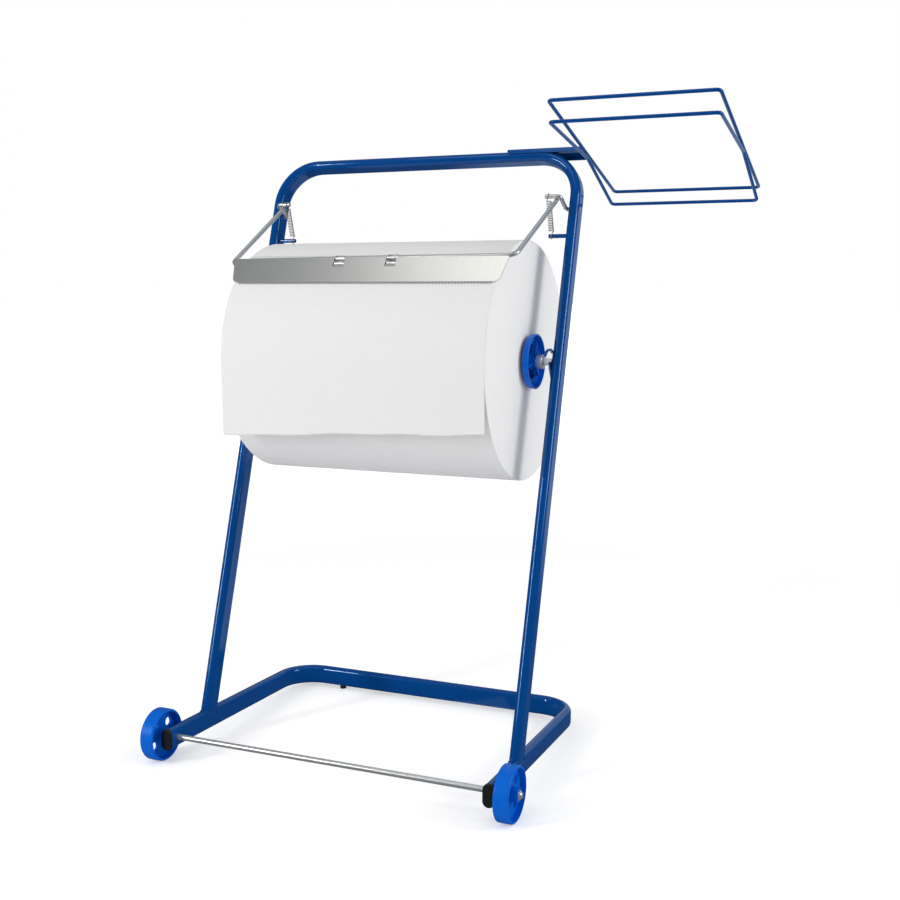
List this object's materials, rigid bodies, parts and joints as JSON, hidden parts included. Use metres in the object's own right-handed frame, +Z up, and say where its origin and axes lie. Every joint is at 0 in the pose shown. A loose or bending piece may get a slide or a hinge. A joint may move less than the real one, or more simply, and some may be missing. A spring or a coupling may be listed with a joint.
{
  "type": "paper roll floor stand",
  "caption": "Wheeled tube stand that holds a wide paper roll on a rod under a sprung tear bail, with a wire ring for a waste bag at one upper corner.",
  "frame": {"origin": "centre of the whole part's box at floor level", "axes": "+Z up, +X towards the bag ring, +Y to the back, so the roll is fed from -Y"},
  "size_m": [0.7594, 0.5686, 0.9123],
  "materials": {
    "blue_powder_coat": "gloss powder coat",
    "blue_plastic": "moulded, semi gloss",
    "black_plastic": "moulded, matt",
    "black_rubber": "moulded",
    "bright_zinc": "bright zinc plate",
    "blue_coated_rivets": "coated with the frame",
    "galvanised_sheet": "satin zinc-coated sheet",
    "spring_steel": "zinc-plated spring wire",
    "white_paper": "creped wiping paper",
    "cardboard": "spiral-wound board"
  },
  "bodies": {
    "root": {"axle_cap_left": "bright_zinc", "axle_cap_right": "bright_zinc", "axle_spacer_left": "black_plastic", "axle_spacer_right": "black_plastic", "bag_arm": "blue_powder_coat", "bag_arm_rivets": "blue_coated_rivets", "bag_ring_lower": "blue_powder_coat", "bag_ring_upper": "blue_powder_coat", "base_tube": "blue_powder_coat", "end_cap_left": "black_plastic", "end_cap_right": "black_plastic", "hanging_sheet": "white_paper", "hoop_tube": "blue_powder_coat", "rear_foot_left": "black_rubber", "rear_foot_right": "black_rubber", "rod_collar_left": "bright_zinc", "rod_collar_right": "bright_zinc", "roll_hook_left": "blue_powder_coat", "roll_hook_right": "blue_powder_coat", "roll_rod": "bright_zinc", "spring_pin_left": "blue_powder_coat", "spring_pin_right": "blue_powder_coat", "wheel_axle": "bright_zinc"},
    "wheel_left": {"wheel_left": "blue_plastic"},
    "wheel_right": {"wheel_right": "blue_plastic"},
    "roll": {"paper_roll": "white_paper", "core_tube": "cardboard", "core_plug_left": "blue_plastic", "core_plug_right": "blue_plastic"},
    "bail": {"bail_crank_left": "bright_zinc", "bail_crank_right": "bright_zinc", "bail_wire_left": "bright_zinc", "bail_wire_right": "bright_zinc", "tear_blade": "galvanised_sheet"},
    "spring_left": {"spring_left": "spring_steel"},
    "spring_right": {"spring_right": "spring_steel"},
    "spring_eye_left": {"spring_eye_left": "spring_steel"},
    "spring_eye_right": {"spring_eye_right": "spring_steel"}
  },
  "joints": [
    {"name": "wheel_left_turn", "type": "hinge", "parent": "root", "child": "wheel_left", "pos_m": [-0.0956, -0.24739, 0.0369], "axis": [1, 0, 0], "continuous": true},
    {"name": "wheel_right_turn", "type": "hinge", "parent": "root", "child": "wheel_right", "pos_m": [-0.0956, -0.24739, 0.0369], "axis": [1, 0, 0], "continuous": true},
    {"name": "roll_turn", "type": "hinge", "parent": "root", "child": "roll", "pos_m": [-0.0956, 0.0098, 0.5636], "axis": [1, 0, 0], "continuous": true},
    {"name": "bail_lift", "type": "hinge", "parent": "root", "child": "bail", "pos_m": [-0.0956, 0.08984, 0.77646], "axis": [1, 0, 0], "range_deg": [-95, 0], "deforming": ["spring_left", "spring_right", "spring_eye_left", "spring_eye_right"]},
    {"name": "spring_left_swing", "type": "hinge", "parent": "root", "child": "spring_left", "pos_m": [-0.0956, 0.07496, 0.73906], "axis": [1, 0, 0], "range_deg": [-43.38, 0]},
    {"name": "spring_left_stretch", "type": "slide", "parent": "spring_left", "child": "spring_eye_left", "axis": [0, -0.2638, 0.9646], "range_m": [0, 0.01741]},
    {"name": "spring_right_swing", "type": "hinge", "parent": "root", "child": "spring_right", "pos_m": [-0.0956, 0.07496, 0.73906], "axis": [1, 0, 0], "range_deg": [-43.38, 0]},
    {"name": "spring_right_stretch", "type": "slide", "parent": "spring_right", "child": "spring_eye_right", "axis": [0, -0.2638, 0.9646], "range_m": [0, 0.01741]}
  ],
  "couplings": [
    {"joint": "spring_left_swing", "follows": "bail_lift", "ratio": 0.45648},
    {"joint": "spring_left_stretch", "follows": "bail_lift", "m_per_rad": -0.010494},
    {"joint": "spring_right_swing", "follows": "bail_lift", "ratio": 0.45648},
    {"joint": "spring_right_stretch", "follows": "bail_lift", "m_per_rad": -0.010494}
  ]
}
